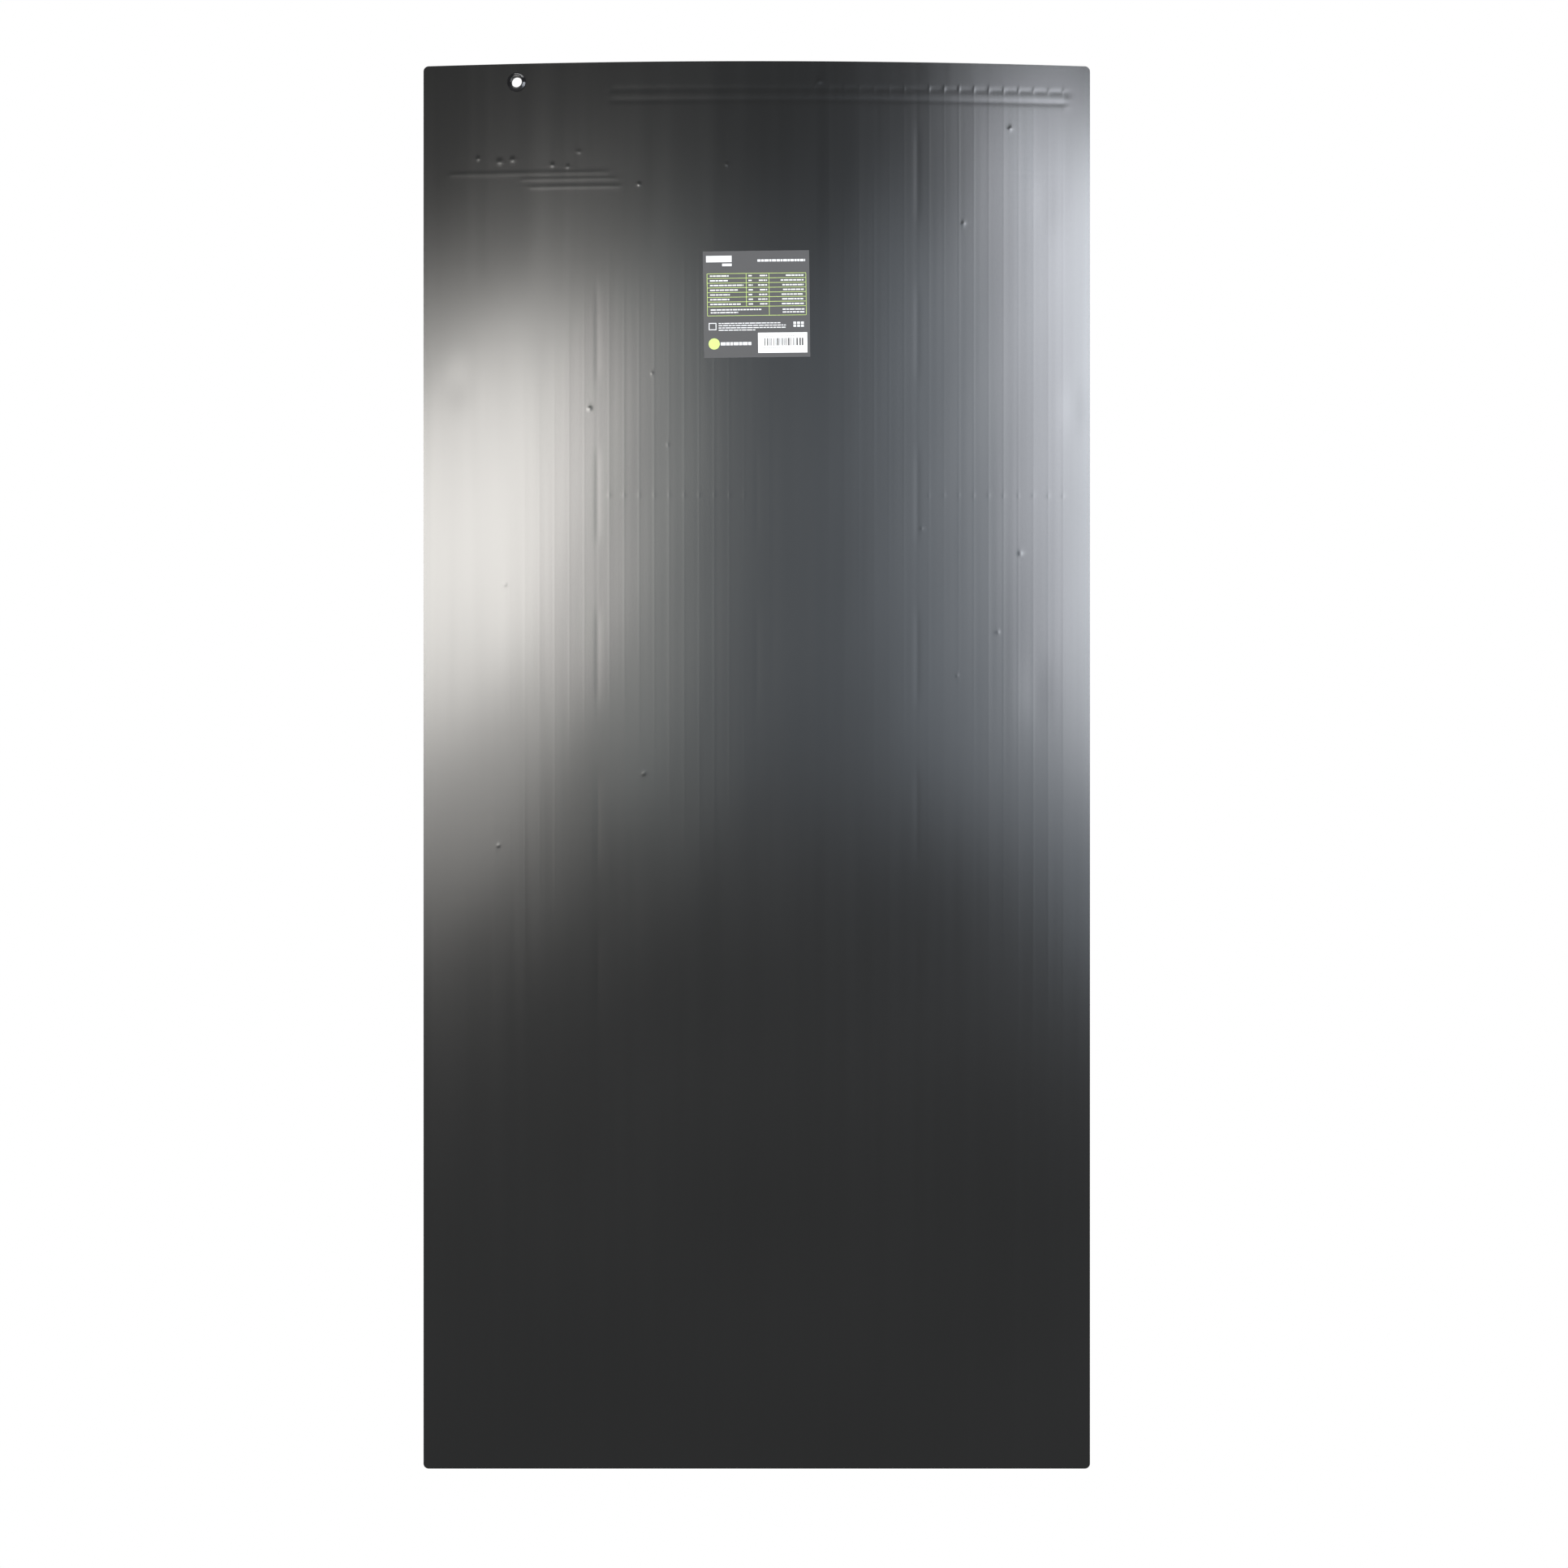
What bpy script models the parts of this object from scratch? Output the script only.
"""Flexible solar sheet: a bowed laminate of four cell columns, with an eyelet, a rating label and a junction box.

X runs across the sheet, Z up its length and +Y out of the sunny side. The back of the sheet faces -Y.
"""
import math

import bmesh
import bpy
from mathutils import Matrix, Vector

# Driving dimensions, in metres.
WIDTH = 0.770
LENGTH = 1.620
CORNER_RADIUS = 0.006
COLUMN_PITCH = 0.184
ROW_PITCH = 0.0925
CELL_WIDTH = 0.182
CELL_HEIGHT = 0.091
CELLS_IN_COLUMN = (16, 17, 17, 17)
BOTTOM_MARGIN = 0.014
BOW_TOP = 0.024
STRIP_GAP = 0.0012

# The laminate from back to front: each layer's thickness and the clearance in front of it.
BACK_SHEET = (0.00030, 0.00005)
SUPPORT_SHEET = (0.00050, 0.00005)
REAR_ENCAPSULANT = (0.00025, 0.00012)
RETURN_RIBBON = (0.00008, 0.00015)
RIBBON = (0.00015, 0.00020)
CELL = (0.00020, 0.00015)
FRONT_ENCAPSULANT = (0.00025, 0.00005)
FRONT_FILM = (0.00010, 0.0)
STACK = (
    BACK_SHEET,
    SUPPORT_SHEET,
    REAR_ENCAPSULANT,
    RETURN_RIBBON,
    RIBBON,
    CELL,
    FRONT_ENCAPSULANT,
    FRONT_FILM,
)
THICKNESS = sum(layer + gap for layer, gap in STACK)

# Soldered ribbons: ten along each cell, and wider ones that join the columns.
RIBBONS_PER_CELL = 10
RIBBON_PITCH = 0.01725
RIBBON_WIDTH = 0.0012
RIBBON_END = 0.002
BUS_WIDTH = 0.004
BUS_GAP = 0.0006
CELL_LINK_WIDTH = 0.004
LINK_REACH = 0.080

# The return ribbon runs behind the cells: across under the top row's end, down beside the flex line,
# back over it and up to the junction box's slot. X of its two upright runs, Z of its two level ones.
RETURN_TOP_Z = 1.574
RETURN_LOW_Z = 1.480
RETURN_DOWN_X = -0.170
RETURN_BOX_X = -0.2487
RETURN_BOX_END_Z = 1.506

# Eyelet in the free corner over the left column.
EYELET_X = -0.276
EYELET_Z = 1.599
EYELET_BORE_RADIUS = 0.0061
EYELET_BARREL_RADIUS = 0.0068
EYELET_FLANGE_RADIUS = 0.0105
EYELET_HOLE_RADIUS = 0.0072
EYELET_ROLL = 0.0018
EYELET_EDGE = 0.0006
EYELET_CLINCH = 0.0015
EYELET_CLINCH_HEIGHT = 0.0013
EYELET_WASHER_RADIUS = 0.0098
EYELET_WASHER_THICKNESS = 0.0006
EYELET_SIDES = 24
GLAND_SIDES = 20
DIODE_SIDES = 12
DRILL_SIDES = 24

# Rating label on the back, and the sticker on it.
LABEL_SIZE = 0.122
LABEL_Z = 1.342
LABEL_THICKNESS = 0.00012
LABEL_TURN = math.radians(0.7)
STICKER_WIDTH = 0.0565
STICKER_HEIGHT = 0.0232
STICKER_X = 0.0295
STICKER_Z = 1.2975
STICKER_THICKNESS = 0.00010
LABEL_CLEARANCE = 0.00012

# Junction box on the front, in the corner that has no cell.
BOX_X = -0.270
BOX_Z = 1.533
BOX_WIDTH = 0.118
BOX_HEIGHT = 0.074
BOX_DEPTH = 0.0155
BOX_WALL = 0.0022
BOX_FLOOR = 0.0020
BOX_CORNER = 0.006
BOX_STANDOFF = 0.0026
PAD_THICKNESS = 0.0012
PAD_BORDER = 0.012
GASKET_HEIGHT = 0.0012
GASKET_WIDTH = 0.0015
GASKET_INSET = 0.0002
LID_HEIGHT = 0.0032
LID_RIM_DEPTH = 0.0025
LID_RIM_WALL = 0.0018
LID_RIM_CORNER = 0.0028
SLOT_CUT_DEPTH = 0.0014
SLOT_WIDTH = 0.064
SLOT_HEIGHT = 0.008
SLOT_LOCAL_Z = -0.022
TERMINALS = 4
TERMINAL_PITCH = 0.026
TERMINAL_LOCAL_Z = -0.004
TERMINAL_SIZE = (0.011, 0.0045, 0.013)
DIODE_RADIUS = 0.0026
DIODE_LENGTH = 0.0095
DIODE_LEAD_RADIUS = 0.0006
DIODE_LOCAL_Z = 0.014
GLAND_LOCAL_X = 0.034
GLAND_LOCAL_Y = 0.0075
GLAND_BORE_RADIUS = 0.0032
GLAND_NECK_RADIUS = 0.0040
GLAND_COLLAR_RADIUS = 0.0058
GLAND_INNER_RADIUS = 0.0049
GLAND_HOLE_RADIUS = 0.0043
GLAND_OUTSIDE = 0.0150
GLAND_COLLAR_LENGTH = 0.0030
GLAND_INNER_LENGTH = 0.0016
TAIL_WIDTH = 0.004
TAIL_THICKNESS = 0.0003
TAIL_FOOT = 0.0001
TAIL_RISE = 0.0012
CLEARANCE = 0.0003
CUT_REACH = 0.010

HALF_WIDTH = WIDTH / 2
STRIP_EDGES = (-HALF_WIDTH, -COLUMN_PITCH, 0.0, COLUMN_PITCH, HALF_WIDTH)
CREASES = (-HALF_WIDTH,) + tuple(COLUMN_PITCH * k / 2 for k in range(-4, 5)) + (HALF_WIDTH,)


def bow(x, z):
    """How far the sheet stands out towards the back there: nothing along its sides, most at the top centre."""
    return BOW_TOP * z / LENGTH * (1 - (x / HALF_WIDTH) ** 2)


def bowed_y(x, z):
    """The laminate's middle surface, with its sides on Y = 0: straight from one crease line to the next."""
    for left, right in zip(CREASES, CREASES[1:]):
        if x <= right or right == CREASES[-1]:
            share = (x - left) / (right - left)
            return -bow(left, z) * (1 - share) - bow(right, z) * share


def surface_frame(x, z, offset, sides_y=0.0):
    """A frame on the sheet: local Y points out of the front and local Z up along the surface."""
    step = 0.001
    across = 2 * bow(0, z) * x / HALF_WIDTH**2
    up = (bowed_y(x, z + step) - bowed_y(x, z - step)) / (2 * step)
    side = Vector((1, across, 0)).normalized()
    rise = Vector((0, up, 1))
    front = rise.cross(side).normalized()
    rise = side.cross(front)
    turn = Matrix((side, front, rise)).transposed().to_4x4()
    return Matrix.Translation((x, sides_y + bowed_y(x, z) + offset, z)) @ turn


def sides_y():
    """Where the sheet's sides lie on Y, so that Y = 0 is midway from the bow's crest to the lid's corner."""
    lid_front = BOX_STANDOFF + BOX_DEPTH + GASKET_HEIGHT + LID_HEIGHT + 2 * CLEARANCE
    corner = Vector((-BOX_WIDTH / 2, lid_front, BOX_CORNER - BOX_HEIGHT / 2))
    foremost = surface_frame(BOX_X, BOX_Z, THICKNESS / 2) @ corner
    crest = -BOW_TOP - THICKNESS / 2
    return -(crest + foremost.y) / 2


SHEET_Y = sides_y()


def surface_y(x, z):
    return SHEET_Y + bowed_y(x, z)


def layer_span(layer):
    """Back and front offsets of one layer from the middle surface."""
    back = -THICKNESS / 2 + sum(t + gap for t, gap in STACK[: STACK.index(layer)])
    return back, back + layer[0]


def clear_scene():
    for item in list(bpy.data.objects):
        bpy.data.objects.remove(item)


def material(name, colour, roughness, metallic=0.0):
    """A plain finish of its own for one piece."""
    made = bpy.data.materials.new(name)
    made.use_nodes = True
    shader = made.node_tree.nodes["Principled BSDF"]
    shader.inputs["Base Color"].default_value = (*colour, 1)
    shader.inputs["Roughness"].default_value = roughness
    shader.inputs["Metallic"].default_value = metallic
    made.diffuse_color = (*colour, 1)
    return made


BLACK_FILM = ((0.022, 0.023, 0.025), 0.38, 0.0)
GLASS_FIBRE = ((0.30, 0.33, 0.26), 0.60, 0.0)
CLEAR_RESIN = ((0.75, 0.78, 0.80), 0.30, 0.0)
SILICON = ((0.010, 0.014, 0.040), 0.25, 0.2)
TINNED_COPPER = ((0.62, 0.62, 0.60), 0.35, 1.0)
CLEAR_FILM = ((0.80, 0.83, 0.85), 0.25, 0.0)
BLACK_PLASTIC = ((0.018, 0.018, 0.020), 0.45, 0.0)
BLACK_LACQUER = ((0.012, 0.012, 0.013), 0.22, 0.6)
GREY_LABEL = ((0.10, 0.11, 0.12), 0.50, 0.0)
WHITE_PAPER = ((0.80, 0.80, 0.80), 0.60, 0.0)
GREY_FOAM = ((0.35, 0.35, 0.35), 0.90, 0.0)
BLACK_RUBBER = ((0.015, 0.015, 0.015), 0.75, 0.0)
PLATED_COPPER = ((0.75, 0.50, 0.36), 0.35, 1.0)
EPOXY = ((0.020, 0.020, 0.022), 0.55, 0.0)


def add_object(name, mesh, finish, frame=None, smooth=False):
    """The bmesh as an object, with its faces turned out and its own material."""
    bmesh.ops.recalc_face_normals(mesh, faces=mesh.faces)
    data = bpy.data.meshes.new(name)
    mesh.to_mesh(data)
    mesh.free()
    if smooth:
        data.shade_smooth()
        data.set_sharp_from_angle(angle=math.radians(35))
    made = bpy.data.objects.new(name, data)
    data.materials.append(material(name, *finish))
    bpy.context.scene.collection.objects.link(made)
    if frame is not None:
        made.parent = frame
    return made


def add_frame(name, matrix):
    """An empty that carries the pieces of one fitting."""
    made = bpy.data.objects.new(name, None)
    made.matrix_world = matrix
    bpy.context.scene.collection.objects.link(made)
    return made


def cut(target, cutter):
    """Takes the cutter's volume out of the target."""
    cutter.hide_render = True
    cutter.display_type = "WIRE"
    modifier = target.modifiers.new("cut_" + cutter.name, "BOOLEAN")
    modifier.operation = "DIFFERENCE"
    modifier.solver = "EXACT"
    modifier.object = cutter


def plate(name, x_lines, z_lines, span, finish, kept=None, turn=0.0):
    """A closed plate that follows the bowed sheet. kept(i, j) says which fields of the grid it fills."""
    mesh = bmesh.new()
    corners = {}
    middle = ((x_lines[0] + x_lines[-1]) / 2, (z_lines[0] + z_lines[-1]) / 2)

    def corner(i, j, side):
        if (i, j, side) not in corners:
            dx, dz = x_lines[i] - middle[0], z_lines[j] - middle[1]
            x = middle[0] + dx * math.cos(turn) - dz * math.sin(turn)
            z = middle[1] + dx * math.sin(turn) + dz * math.cos(turn)
            corners[i, j, side] = mesh.verts.new((x, surface_y(x, z) + span[side], z))
        return corners[i, j, side]

    fields = {
        (i, j)
        for i in range(len(x_lines) - 1)
        for j in range(len(z_lines) - 1)
        if kept is None or kept(i, j)
    }
    for i, j in fields:
        for side in (0, 1):
            low, far = corner(i, j, side), corner(i + 1, j + 1, side)
            mesh.faces.new((low, corner(i + 1, j, side), far))
            mesh.faces.new((low, far, corner(i, j + 1, side)))
        edges = {
            (i - 1, j): ((i, j), (i, j + 1)),
            (i + 1, j): ((i + 1, j), (i + 1, j + 1)),
            (i, j - 1): ((i, j), (i + 1, j)),
            (i, j + 1): ((i, j + 1), (i + 1, j + 1)),
        }
        for neighbour, (a, b) in edges.items():
            if neighbour not in fields:
                mesh.faces.new((corner(*a, 0), corner(*b, 0), corner(*b, 1), corner(*a, 1)))
    return add_object(name, mesh, finish)


def turned(name, profile, finish, frame, axis="Y", sides=EYELET_SIDES, at=(0, 0, 0)):
    """A closed profile of (radius, distance along the axis) turned about a local axis."""
    mesh = bmesh.new()
    rings = []
    for k in range(sides):
        angle = 2 * math.pi * k / sides
        ring = []
        for radius, along in profile:
            u, v = radius * math.cos(angle), radius * math.sin(angle)
            point = {"X": (along, u, v), "Y": (v, along, u), "Z": (u, v, along)}[axis]
            ring.append(mesh.verts.new(Vector(point) + Vector(at)))
        rings.append(ring)
    for ring, following in zip(rings, rings[1:] + rings[:1]):
        for k in range(len(profile)):
            m = (k + 1) % len(profile)
            mesh.faces.new((ring[k], ring[m], following[m], following[k]))
    return add_object(name, mesh, finish, frame, smooth=True)


def solid_turned(name, profile, finish, frame, axis, sides, at=(0, 0, 0)):
    """A solid of revolution whose profile starts and ends on its axis."""
    made = turned(name, profile, finish, frame, axis, sides, at)
    mesh = bmesh.new()
    mesh.from_mesh(made.data)
    bmesh.ops.remove_doubles(mesh, verts=mesh.verts, dist=1e-6)
    bmesh.ops.dissolve_degenerate(mesh, edges=mesh.edges, dist=1e-7)
    bmesh.ops.recalc_face_normals(mesh, faces=mesh.faces)
    mesh.to_mesh(made.data)
    mesh.free()
    return made


def drill_profile(radius):
    """The profile of a round cutter that reaches past both faces of what it cuts."""
    return [(0, -CUT_REACH), (radius, -CUT_REACH), (radius, CUT_REACH), (0, CUT_REACH)]


def rounded_rectangle(width, height, radius, steps=4):
    """Corner points of a rectangle with round corners, counter-clockwise in local X and Z."""
    points = []
    for quarter, (sx, sz) in enumerate(((1, 1), (-1, 1), (-1, -1), (1, -1))):
        for k in range(steps + 1):
            angle = math.pi / 2 * (quarter + k / steps)
            x = sx * (width / 2 - radius) + radius * math.cos(angle)
            z = sz * (height / 2 - radius) + radius * math.sin(angle)
            points.append((x, z))
    return points


def block(name, outline, y_low, y_high, finish, frame, hole=None):
    """An outline in local X and Z between two local Y values, with an optional hole of as many points."""
    mesh = bmesh.new()
    low = [mesh.verts.new((x, y_low, z)) for x, z in outline]
    high = [mesh.verts.new((x, y_high, z)) for x, z in outline]
    count = len(outline)
    for k in range(count):
        m = (k + 1) % count
        mesh.faces.new((low[k], low[m], high[m], high[k]))
    if hole is None:
        mesh.faces.new(low)
        mesh.faces.new(high)
        return add_object(name, mesh, finish, frame)
    inner_low = [mesh.verts.new((x, y_low, z)) for x, z in hole]
    inner_high = [mesh.verts.new((x, y_high, z)) for x, z in hole]
    for k in range(count):
        m = (k + 1) % count
        mesh.faces.new((inner_low[k], inner_low[m], inner_high[m], inner_high[k]))
        mesh.faces.new((low[k], low[m], inner_low[m], inner_low[k]))
        mesh.faces.new((high[k], high[m], inner_high[m], inner_high[k]))
    return add_object(name, mesh, finish, frame)


def box_cutter(name, low, high, frame):
    """A plain box between two local corners, used as a cutter."""
    outline = ((low[0], low[2]), (high[0], low[2]), (high[0], high[2]), (low[0], high[2]))
    return block(name, outline, low[1], high[1], BLACK_PLASTIC, frame)


def layer_z_lines():
    """Heights at which every layer is divided: the gaps between the cell rows."""
    half_gap = (ROW_PITCH - CELL_HEIGHT) / 2
    rows = [BOTTOM_MARGIN + ROW_PITCH * k - half_gap for k in range(1, max(CELLS_IN_COLUMN) + 1)]
    return [0.0, *rows, LENGTH]


def strip_x_lines(column):
    """Crease lines of one strip, with its edges drawn back from the flex lines."""
    left, right = STRIP_EDGES[column], STRIP_EDGES[column + 1]
    inside = [x for x in CREASES if left < x < right]
    first = left + (STRIP_GAP / 2 if column > 0 else 0)
    last = right - (STRIP_GAP / 2 if column < len(CELLS_IN_COLUMN) - 1 else 0)
    return [first, *inside, last]


def corner_cutters():
    """What the rounded corners take off the four ends of the outer strips."""
    made = {}
    reach = 0.01
    for column, side in ((0, -1), (len(CELLS_IN_COLUMN) - 1, 1)):
        for end, height in ((-1, 0.0), (1, LENGTH)):
            outer = (side * (HALF_WIDTH + reach), height + end * reach)
            inner_x = side * (HALF_WIDTH - CORNER_RADIUS)
            inner_z = height - end * CORNER_RADIUS
            outline = [outer, (inner_x, outer[1])]
            for k in range(5):
                angle = math.pi / 2 * (1 - k / 4)
                x = inner_x + side * CORNER_RADIUS * math.cos(angle)
                outline.append((x, inner_z + end * CORNER_RADIUS * math.sin(angle)))
            outline.append((outer[0], inner_z))
            name = f"corner_cutter_{column}_{'top' if end > 0 else 'bottom'}"
            cutter = block(name, outline, SHEET_Y - 0.1, SHEET_Y + 0.1, BLACK_PLASTIC, None)
            made.setdefault(column, []).append(cutter)
    return made


def add_layers(eyelet_frame, box_frame):
    """The seven layers of each strip that are plain sheets, with the holes that go through them."""
    corners = corner_cutters()
    hole = solid_turned(
        "eyelet_hole_cutter",
        drill_profile(EYELET_HOLE_RADIUS),
        BLACK_PLASTIC,
        eyelet_frame,
        "Y",
        DRILL_SIDES,
    )
    slot = box_cutter(
        "ribbon_slot_cutter",
        (-SLOT_WIDTH / 2, -SLOT_CUT_DEPTH, SLOT_LOCAL_Z - SLOT_HEIGHT / 2),
        (SLOT_WIDTH / 2, CUT_REACH, SLOT_LOCAL_Z + SLOT_HEIGHT / 2),
        box_frame,
    )
    sheets = (
        ("back_sheet", BACK_SHEET, BLACK_FILM),
        ("support_sheet", SUPPORT_SHEET, GLASS_FIBRE),
        ("rear_encapsulant", REAR_ENCAPSULANT, CLEAR_RESIN),
        ("front_encapsulant", FRONT_ENCAPSULANT, CLEAR_RESIN),
        ("front_film", FRONT_FILM, CLEAR_FILM),
    )
    for column in range(len(CELLS_IN_COLUMN)):
        for kind, layer, finish in sheets:
            name = f"{kind}_{column + 1}"
            made = plate(name, strip_x_lines(column), layer_z_lines(), layer_span(layer), finish)
            for cutter in corners.get(column, ()):
                cut(made, cutter)
            if column == 0:
                cut(made, hole)
            if column == 0 and layer in (FRONT_ENCAPSULANT, FRONT_FILM):
                cut(made, slot)


def column_centre(column):
    return COLUMN_PITCH * (column - (len(CELLS_IN_COLUMN) - 1) / 2)


def cell_top(column):
    return BOTTOM_MARGIN + ROW_PITCH * (CELLS_IN_COLUMN[column] - 1) + CELL_HEIGHT


def add_cell_string(column):
    """One column's cells in series: each is joined to the next by the ribbons that cross the gap."""
    centre = column_centre(column)
    half_link = CELL_LINK_WIDTH / 2
    x_lines = [centre - CELL_WIDTH / 2, centre - half_link, centre + half_link, centre + CELL_WIDTH / 2]
    z_lines = []
    for row in range(CELLS_IN_COLUMN[column]):
        low = BOTTOM_MARGIN + ROW_PITCH * row
        z_lines += [low, low + CELL_HEIGHT]
    plate(
        f"cell_string_{column + 1}",
        x_lines,
        z_lines,
        layer_span(CELL),
        SILICON,
        kept=lambda i, j: j % 2 == 0 or i == 1,
    )


def add_ribbon_comb(column):
    """The ten ribbons on the back of one column, joined at each end by a bus ribbon."""
    centre = column_centre(column)
    first = centre - RIBBON_PITCH * (RIBBONS_PER_CELL - 1) / 2
    x_lines = []
    for k in range(RIBBONS_PER_CELL):
        x = first + RIBBON_PITCH * k
        x_lines += [x - RIBBON_WIDTH / 2, x + RIBBON_WIDTH / 2]
    low = BOTTOM_MARGIN - RIBBON_END
    high = cell_top(column) + RIBBON_END
    z_lines = [low - BUS_WIDTH, low, high, high + BUS_WIDTH]
    plate(
        f"ribbon_comb_{column + 1}",
        x_lines,
        z_lines,
        layer_span(RIBBON),
        TINNED_COPPER,
        kept=lambda i, j: i % 2 == 0 or j != 1,
    )


def add_links():
    """Ribbons that carry the current from one column to the next, and back to the junction box."""
    span = layer_span(RIBBON)
    bottom = BOTTOM_MARGIN - RIBBON_END - BUS_WIDTH - BUS_GAP
    top = cell_top(1) + RIBBON_END + BUS_WIDTH + BUS_GAP
    for name, middle, low in (
        ("bottom_link_1_to_2", -COLUMN_PITCH, bottom - BUS_WIDTH),
        ("top_link_2_to_3", 0.0, top),
        ("bottom_link_3_to_4", COLUMN_PITCH, bottom - BUS_WIDTH),
    ):
        lines = [x for x in CREASES if abs(x - middle) < LINK_REACH]
        x_lines = [middle - LINK_REACH, *lines, middle + LINK_REACH]
        plate(name, x_lines, [low, low + BUS_WIDTH], span, TINNED_COPPER)
    add_return_ribbon()


def add_return_ribbon():
    """One flat ribbon of four straight runs, each given by its low and high corner."""
    half = BUS_WIDTH / 2
    far_end = column_centre(3) + CELL_WIDTH / 2 - RIBBON_PITCH / 2
    top, low = RETURN_TOP_Z, RETURN_LOW_Z
    runs = (
        ((RETURN_DOWN_X - half, top - half), (far_end, top + half)),
        ((RETURN_DOWN_X - half, low - half), (RETURN_DOWN_X + half, top + half)),
        ((RETURN_BOX_X - half, low - half), (RETURN_DOWN_X + half, low + half)),
        ((RETURN_BOX_X - half, low - half), (RETURN_BOX_X + half, RETURN_BOX_END_Z)),
    )
    ends_x = {x for run in runs for x, _ in run}
    ends_z = {z for run in runs for _, z in run}
    x_lines = sorted(ends_x | {x for x in CREASES if RETURN_BOX_X < x < far_end})
    z_lines = sorted(ends_z)

    def kept(i, j):
        x, z = (x_lines[i] + x_lines[i + 1]) / 2, (z_lines[j] + z_lines[j + 1]) / 2
        return any(a[0] < x < b[0] and a[1] < z < b[1] for a, b in runs)

    plate("return_ribbon", x_lines, z_lines, layer_span(RETURN_RIBBON), TINNED_COPPER, kept)


def add_label():
    """The rating label on the back, across the middle flex line, and the sticker on its lower right."""
    half = LABEL_SIZE / 2
    front = -THICKNESS / 2 - LABEL_CLEARANCE
    span = (front - LABEL_THICKNESS, front)
    z_lines = [LABEL_Z - half, LABEL_Z + half]
    plate("rating_label", [-half, 0.0, half], z_lines, span, GREY_LABEL, turn=LABEL_TURN)
    front = span[0] - LABEL_CLEARANCE
    x_lines = [STICKER_X - STICKER_WIDTH / 2, STICKER_X + STICKER_WIDTH / 2]
    z_lines = [STICKER_Z - STICKER_HEIGHT / 2, STICKER_Z + STICKER_HEIGHT / 2]
    plate(
        "barcode_sticker",
        x_lines,
        z_lines,
        (front - STICKER_THICKNESS, front),
        WHITE_PAPER,
        turn=LABEL_TURN,
    )


def add_eyelet(frame):
    """A two-piece eyelet: a flanged barrel from the back, rolled over a washer on the front."""
    back = -THICKNESS / 2 - CLEARANCE
    front = THICKNESS / 2 + CLEARANCE
    washer_front = front + EYELET_WASHER_THICKNESS
    lip = washer_front + CLEARANCE
    barrel = [
        (EYELET_BORE_RADIUS, back - EYELET_ROLL * 0.4),
        (EYELET_BORE_RADIUS + EYELET_ROLL * 0.5, back - EYELET_ROLL * 0.9),
        (EYELET_BORE_RADIUS + EYELET_ROLL * 1.2, back - EYELET_ROLL),
        (EYELET_FLANGE_RADIUS - EYELET_EDGE, back - EYELET_ROLL * 0.55),
        (EYELET_FLANGE_RADIUS, back - EYELET_ROLL * 0.2),
        (EYELET_FLANGE_RADIUS, back),
        (EYELET_BARREL_RADIUS, back),
        (EYELET_BARREL_RADIUS, lip),
        (EYELET_BARREL_RADIUS + EYELET_CLINCH * 0.8, lip),
        (EYELET_BARREL_RADIUS + EYELET_CLINCH, lip + EYELET_CLINCH_HEIGHT * 0.4),
        (EYELET_BARREL_RADIUS + EYELET_CLINCH * 0.6, washer_front + EYELET_CLINCH_HEIGHT),
        (EYELET_BORE_RADIUS + CLEARANCE, washer_front + EYELET_CLINCH_HEIGHT * 0.75),
        (EYELET_BORE_RADIUS, washer_front + EYELET_CLINCH_HEIGHT * 0.15),
    ]
    turned("eyelet_barrel", barrel, BLACK_LACQUER, frame, sides=EYELET_SIDES)
    inner = EYELET_BARREL_RADIUS + CLEARANCE
    edge = EYELET_EDGE / 2
    washer = [
        (inner, front),
        (EYELET_WASHER_RADIUS, front),
        (EYELET_WASHER_RADIUS, washer_front - edge),
        (EYELET_WASHER_RADIUS - edge, washer_front),
        (inner, washer_front),
    ]
    turned("eyelet_washer", washer, BLACK_LACQUER, frame, sides=EYELET_SIDES)


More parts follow.
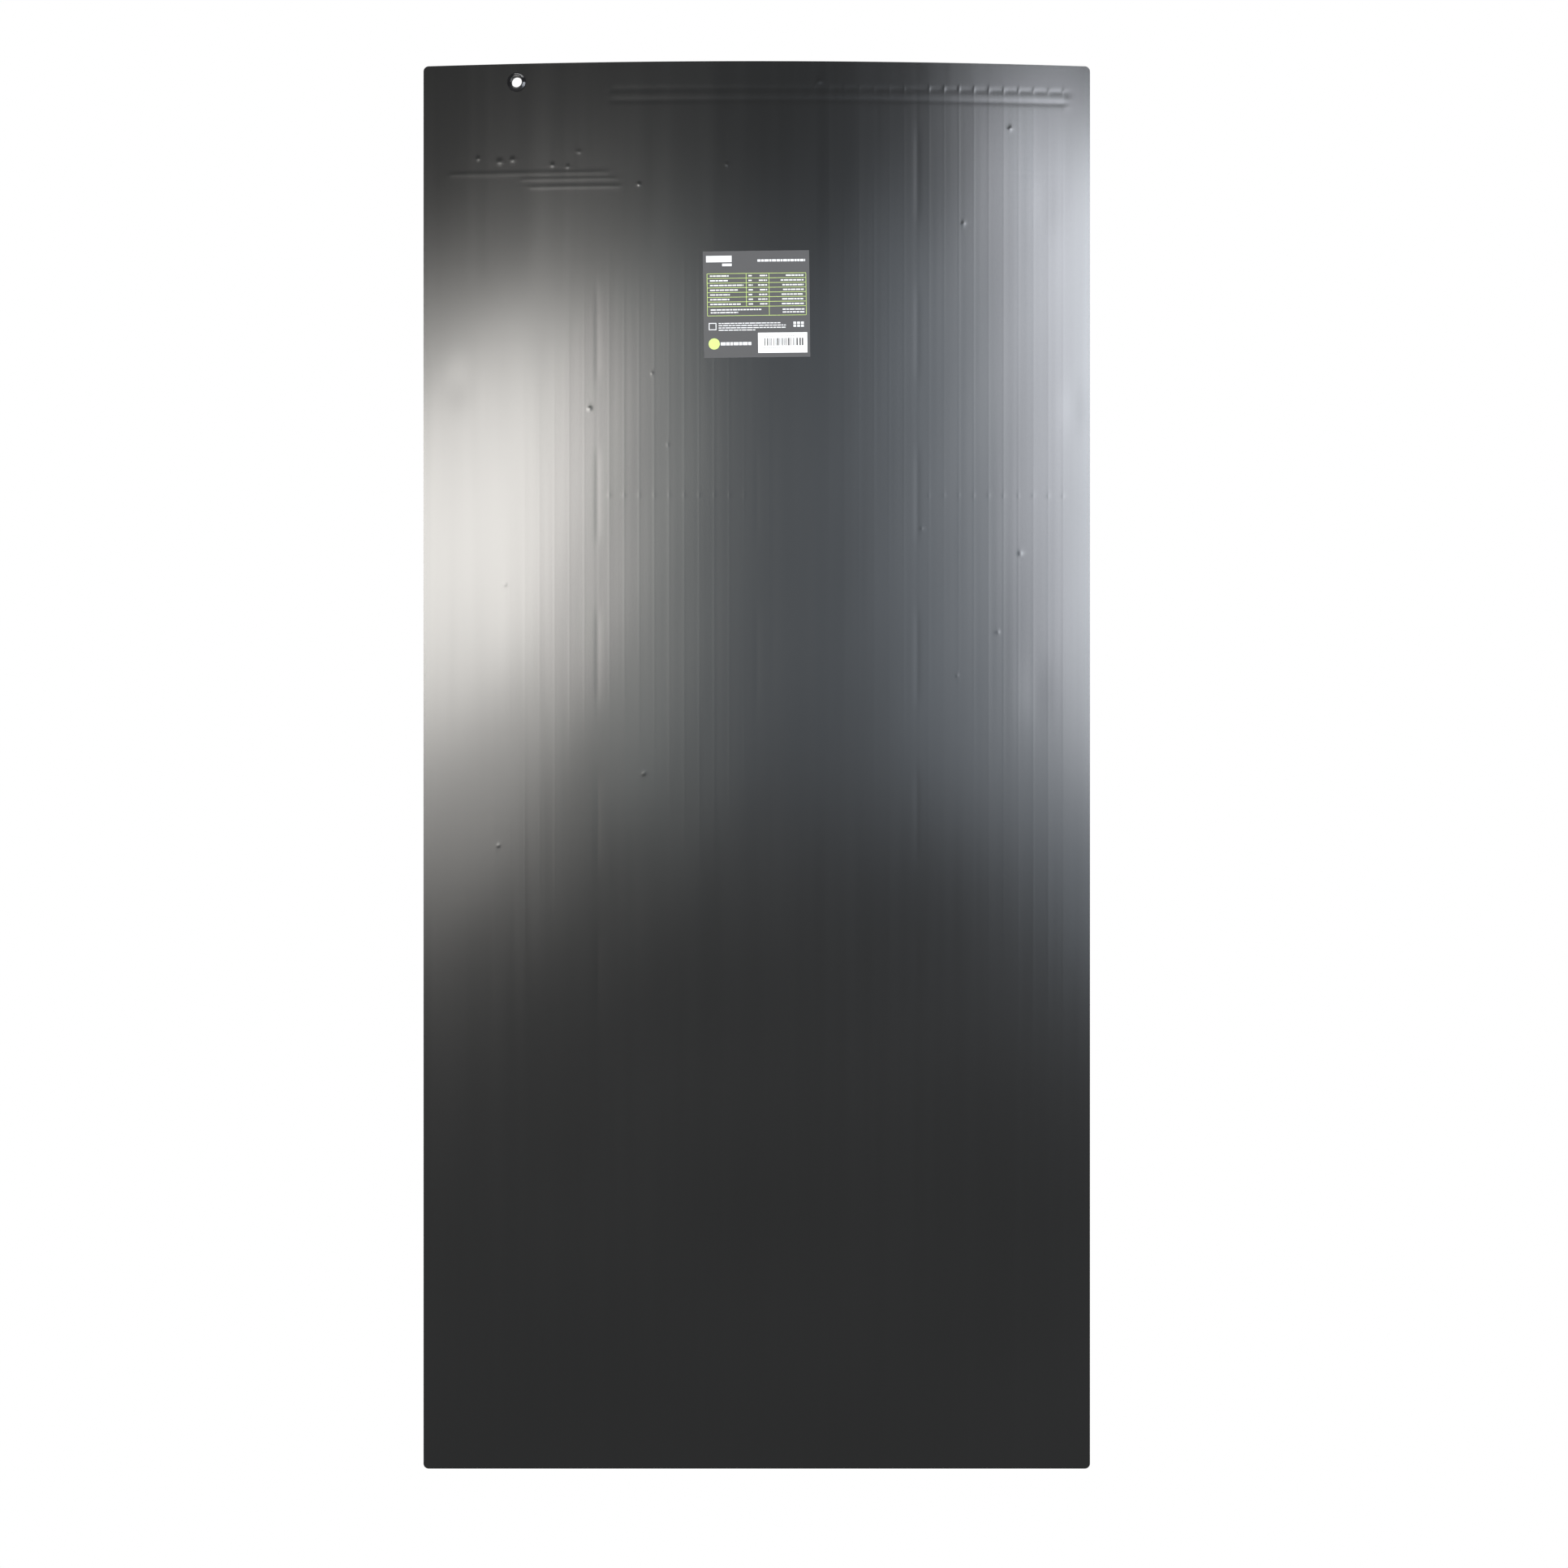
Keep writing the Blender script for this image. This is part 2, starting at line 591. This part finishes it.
def add_box_shell(frame):
    """The junction box: foam pad, tray with a slot in its floor, gasket and snap-on lid."""
    outline = rounded_rectangle(BOX_WIDTH, BOX_HEIGHT, BOX_CORNER)
    window = rounded_rectangle(BOX_WIDTH - 2 * PAD_BORDER, BOX_HEIGHT - 2 * PAD_BORDER, BOX_CORNER)
    pad_front = BOX_STANDOFF - CLEARANCE
    block("box_pad", outline, pad_front - PAD_THICKNESS, pad_front, GREY_FOAM, frame, window)

    floor = BOX_STANDOFF
    rim = floor + BOX_DEPTH
    tray = block("box_tray", outline, floor, rim, BLACK_PLASTIC, frame)
    inside = rounded_rectangle(
        BOX_WIDTH - 2 * BOX_WALL, BOX_HEIGHT - 2 * BOX_WALL, BOX_CORNER - BOX_WALL
    )
    cut(tray, block("tray_cutter", inside, floor + BOX_FLOOR, rim + CUT_REACH, BLACK_PLASTIC, frame))
    half_slot = SLOT_HEIGHT / 2
    low = (-SLOT_WIDTH / 2, floor - CUT_REACH, SLOT_LOCAL_Z - half_slot)
    high = (SLOT_WIDTH / 2, floor + BOX_FLOOR + CLEARANCE, SLOT_LOCAL_Z + half_slot)
    cut(tray, box_cutter("tray_slot_cutter", low, high, frame))
    wall_z = -BOX_HEIGHT / 2
    for side in (-1, 1):
        drill = solid_turned(
            f"gland_drill_{'left' if side < 0 else 'right'}",
            drill_profile(GLAND_HOLE_RADIUS),
            BLACK_PLASTIC,
            frame,
            "Z",
            DRILL_SIDES,
            at=(side * GLAND_LOCAL_X, floor + GLAND_LOCAL_Y, wall_z),
        )
        cut(tray, drill)

    gasket_back = rim + CLEARANCE
    inset = 2 * GASKET_INSET
    outer = rounded_rectangle(BOX_WIDTH - inset, BOX_HEIGHT - inset, BOX_CORNER - GASKET_INSET)
    shrink = 2 * GASKET_WIDTH
    inner = rounded_rectangle(BOX_WIDTH - shrink, BOX_HEIGHT - shrink, BOX_CORNER - GASKET_WIDTH)
    gasket_front = gasket_back + GASKET_HEIGHT
    block("box_gasket", outer, gasket_back, gasket_front, BLACK_RUBBER, frame, inner)
    add_lid(frame, gasket_front + CLEARANCE, outline)


def add_lid(frame, back, outline):
    """A cap whose rim reaches down inside the gasket and the tray."""
    anchor = add_frame("lid_slide", Matrix.Identity(4))
    anchor.parent = frame
    anchor.location = (0, back, 0)
    lid = block("box_lid", outline, 0.0, LID_HEIGHT, BLACK_PLASTIC, anchor)
    clear = 2 * (BOX_WALL + CLEARANCE)
    rim = rounded_rectangle(BOX_WIDTH - clear, BOX_HEIGHT - clear, BOX_CORNER - BOX_WALL)
    thick = clear + 2 * LID_RIM_WALL
    hollow = rounded_rectangle(BOX_WIDTH - thick, BOX_HEIGHT - thick, LID_RIM_CORNER)
    reach = -(LID_RIM_DEPTH + GASKET_HEIGHT)
    rim_body = block("lid_rim", rim, reach, LID_HEIGHT / 2, BLACK_PLASTIC, anchor, hollow)
    rim_body.hide_render = True
    rim_body.display_type = "WIRE"
    join = lid.modifiers.new("rim", "BOOLEAN")
    join.operation = "UNION"
    join.solver = "EXACT"
    join.object = rim_body


def add_box_contents(frame):
    """Four terminals with three bypass diodes between them, two cable glands and two ribbon tails."""
    floor = BOX_STANDOFF + BOX_FLOOR + CLEARANCE
    width, height, length = TERMINAL_SIZE
    first = -TERMINAL_PITCH * (TERMINALS - 1) / 2
    for k in range(TERMINALS):
        x = first + TERMINAL_PITCH * k
        terminal = box_cutter(
            f"box_terminal_{k + 1}",
            (x - width / 2, floor, TERMINAL_LOCAL_Z - length / 2),
            (x + width / 2, floor + height, TERMINAL_LOCAL_Z + length / 2),
            frame,
        )
        terminal.data.materials[0] = material(f"box_terminal_{k + 1}_metal", *PLATED_COPPER)
        groove = box_cutter(
            f"terminal_groove_{k + 1}",
            (x - width / 4, floor + height / 3, TERMINAL_LOCAL_Z - length),
            (x + width / 4, floor + height + CLEARANCE, TERMINAL_LOCAL_Z + length),
            frame,
        )
        cut(terminal, groove)
    height_of_diode = floor + DIODE_RADIUS + CLEARANCE
    reach = TERMINAL_PITCH / 2 - CLEARANCE
    half = DIODE_LENGTH / 2
    for k in range(TERMINALS - 1):
        middle = first + TERMINAL_PITCH * (k + 0.5)
        profile = [
            (0, -reach),
            (DIODE_LEAD_RADIUS, -reach),
            (DIODE_LEAD_RADIUS, -half),
            (DIODE_RADIUS, -half),
            (DIODE_RADIUS, half),
            (DIODE_LEAD_RADIUS, half),
            (DIODE_LEAD_RADIUS, reach),
            (0, reach),
        ]
        at = (middle, height_of_diode, DIODE_LOCAL_Z)
        solid_turned(f"bypass_diode_{k + 1}", profile, EPOXY, frame, "X", DIODE_SIDES, at)
    for side, word in ((-1, "left"), (1, "right")):
        add_gland(f"cable_gland_{word}", side * GLAND_LOCAL_X, frame)
        add_tail(f"tail_ribbon_{word}", side * SLOT_WIDTH / 3, frame)


def add_gland(name, x, frame):
    """A rubber gland in the tray's lower wall, with a groove that the wall sits in."""
    outside = -BOX_HEIGHT / 2
    inside = outside + BOX_WALL
    collar = GLAND_COLLAR_RADIUS
    profile = [
        (GLAND_BORE_RADIUS, outside - GLAND_OUTSIDE),
        (GLAND_NECK_RADIUS, outside - GLAND_OUTSIDE),
        (collar, outside - GLAND_COLLAR_LENGTH),
        (collar, outside - CLEARANCE),
        (GLAND_NECK_RADIUS, outside - CLEARANCE),
        (GLAND_NECK_RADIUS, inside + CLEARANCE),
        (GLAND_INNER_RADIUS, inside + CLEARANCE),
        (GLAND_INNER_RADIUS, inside + GLAND_INNER_LENGTH),
        (GLAND_BORE_RADIUS, inside + GLAND_INNER_LENGTH),
    ]
    at = (x, BOX_STANDOFF + GLAND_LOCAL_Y, 0)
    turned(name, profile, BLACK_RUBBER, frame, axis="Z", sides=GLAND_SIDES, at=at)


def add_tail(name, x, frame):
    """A ribbon that comes up through the slot and bends over towards its terminal."""
    z = SLOT_LOCAL_Z
    start = -layer_span(FRONT_FILM)[1] + layer_span(CELL)[1] + TAIL_FOOT
    top = BOX_STANDOFF + BOX_FLOOR + TAIL_RISE
    end_z = TERMINAL_LOCAL_Z - TERMINAL_SIZE[2] / 2 - CLEARANCE
    outline = (
        (start, z - TAIL_THICKNESS),
        (top, z - TAIL_THICKNESS),
        (top, end_z),
        (top - TAIL_THICKNESS, end_z),
        (top - TAIL_THICKNESS, z),
        (start, z),
    )
    mesh = bmesh.new()
    sides = []
    for dx in (-TAIL_WIDTH / 2, TAIL_WIDTH / 2):
        sides.append([mesh.verts.new((x + dx, y, dz)) for y, dz in outline])
    for side in sides:
        mesh.faces.new(side)
    for k in range(len(outline)):
        m = (k + 1) % len(outline)
        mesh.faces.new((sides[0][k], sides[0][m], sides[1][m], sides[1][k]))
    add_object(name, mesh, TINNED_COPPER, frame)


def add_flex_axes():
    """Empties on the three lines where one strip bends against the next."""
    for number, x in enumerate(STRIP_EDGES[1:-1], start=1):
        middle = LENGTH / 2
        slope = (surface_y(x, LENGTH) - surface_y(x, 0)) / LENGTH
        tilt = Matrix.Rotation(-math.atan(slope), 4, "X")
        add_frame(f"flex_axis_{number}", Matrix.Translation((x, surface_y(x, middle), middle)) @ tilt)


def main():
    clear_scene()
    eyelet_frame = add_frame("eyelet_frame", surface_frame(EYELET_X, EYELET_Z, 0.0, SHEET_Y))
    box_frame = add_frame("box_frame", surface_frame(BOX_X, BOX_Z, THICKNESS / 2, SHEET_Y))
    add_flex_axes()
    add_layers(eyelet_frame, box_frame)
    for column in range(len(CELLS_IN_COLUMN)):
        add_cell_string(column)
        add_ribbon_comb(column)
    add_links()
    add_label()
    add_eyelet(eyelet_frame)
    add_box_shell(box_frame)
    add_box_contents(box_frame)


main()
